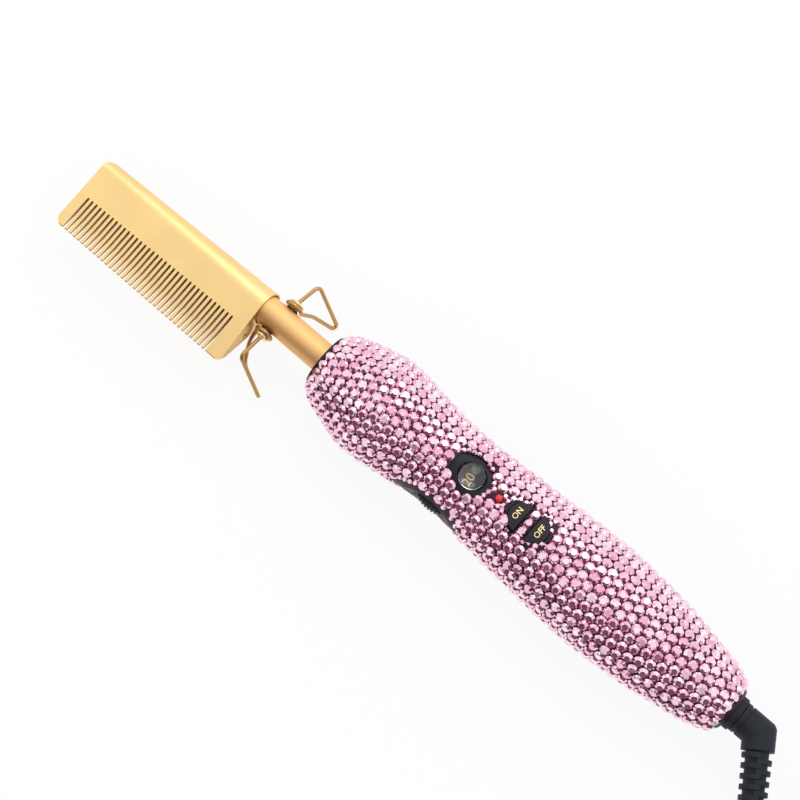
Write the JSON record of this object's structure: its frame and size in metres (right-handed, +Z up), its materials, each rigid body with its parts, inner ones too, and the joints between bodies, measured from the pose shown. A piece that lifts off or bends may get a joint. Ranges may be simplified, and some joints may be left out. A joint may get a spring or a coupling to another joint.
{
  "type": "electric hot comb",
  "caption": "Electric hot comb: slotted brass comb head on a shaft with folding wire stands, stone-covered handle with dial window, thumbwheel and two buttons, swivelling cord",
  "frame": {"origin": "middle of the base of the object without its cord, on the table it rests on", "axes": "+X from the comb's tip to the cord end, +Y from the teeth towards the spine, +Z up from the table, buttons uppermost"},
  "size_m": [0.4363, 0.0918, 0.0361],
  "materials": {
    "comb_brass": "satin champagne gold",
    "shaft_brass": "fine brushed deep gold",
    "polished_brass": "polished pale brass",
    "wire_brass": "matte gold-plated wire",
    "dark_steel": "blackened steel",
    "plain_steel": "bright zinc",
    "white_ceramic": "unglazed ceramic",
    "lead_sleeve": "silicone sleeve",
    "black_plastic": "fine texture black",
    "pink_stone": "foil-backed faceted pink stones",
    "clear_lens": "clear moulded lens",
    "dial_plastic": "dark moulded with gold numbers",
    "button_plastic": "satin charcoal with gold text",
    "red_indicator": "translucent red",
    "component_plastic": "moulded component body",
    "board_laminate": "green laminate",
    "boot_rubber": "slate-black moulded rubber",
    "cord_jacket": "matte black jacket",
    "tie_strap": "black strap",
    "plug_rubber": "matte black moulding",
    "pin_nickel": "nickel-plated"
  },
  "bodies": {
    "comb": {"comb_head": "comb_brass", "shaft_tube": "shaft_brass", "heater_cartridge": "white_ceramic", "heater_bush": "white_ceramic", "heater_leads": "lead_sleeve", "temperature_sensor": "white_ceramic", "sensor_leads": "lead_sleeve", "stand_anchor_ring": "plain_steel", "stand_studs": "polished_brass", "stand_lock_washers": "dark_steel", "stand_hex_nuts": "polished_brass", "stand_outer_washers": "polished_brass", "nose_ring": "black_plastic", "shaft_lock_nut": "plain_steel", "handle_top_shell": "black_plastic", "handle_bottom_shell": "black_plastic", "stones_top": "pink_stone", "stones_bottom": "pink_stone", "handle_screws": "dark_steel", "window_bezel": "black_plastic", "window_lens": "clear_lens", "potentiometer_body": "component_plastic", "indicator_led": "red_indicator", "indicator_legs": "plain_steel", "circuit_board": "board_laminate", "tact_switches": "component_plastic", "triac": "component_plastic", "film_capacitor": "component_plastic", "thermal_fuse": "white_ceramic", "mains_leads": "lead_sleeve", "cord_clamp_plate": "black_plastic", "cord_clamp_screws": "plain_steel", "cord_collar": "boot_rubber"},
    "spine_stand": {"stand_wire_spine_side": "wire_brass"},
    "teeth_stand": {"stand_wire_teeth_side": "wire_brass"},
    "dial": {"temperature_wheel": "dial_plastic", "potentiometer_shaft": "plain_steel"},
    "on_cap": {"on_button": "button_plastic"},
    "off_cap": {"off_button": "button_plastic"},
    "swivel": {"swivel_elbow": "boot_rubber", "swivel_clip": "plain_steel", "cord_lead": "cord_jacket", "cord_coil": "cord_jacket", "coil_tie": "tie_strap", "cord_tail": "cord_jacket", "plug_body": "plug_rubber", "plug_pins": "pin_nickel"}
  },
  "joints": [
    {"name": "spine_stand_fold", "type": "hinge", "parent": "comb", "child": "spine_stand", "pos_m": [-0.0618, 0.0109, 0.0185], "axis": [0, -1, 0], "range_deg": [-35, 60]},
    {"name": "teeth_stand_fold", "type": "hinge", "parent": "comb", "child": "teeth_stand", "pos_m": [-0.0636, -0.0053, 0.0185], "axis": [0, -1, 0], "range_deg": [-2, 60]},
    {"name": "temperature_turn", "type": "hinge", "parent": "comb", "child": "dial", "pos_m": [0.0197, -0.0001, 0.0185], "axis": [0, 0, 1], "range_deg": [-150, 60]},
    {"name": "on_press", "type": "slide", "parent": "comb", "child": "on_cap", "axis": [0, 0, -1], "range_m": [0, 0.0006], "stiffness_N_per_m": 900, "springref_m": -0.0004},
    {"name": "off_press", "type": "slide", "parent": "comb", "child": "off_cap", "axis": [0, 0, -1], "range_m": [0, 0.0006], "stiffness_N_per_m": 900, "springref_m": -0.0004},
    {"name": "cord_swivel", "type": "hinge", "parent": "comb", "child": "swivel", "pos_m": [0.1437, 0.0028, 0.0185], "axis": [1, 0, 0], "continuous": true}
  ]
}
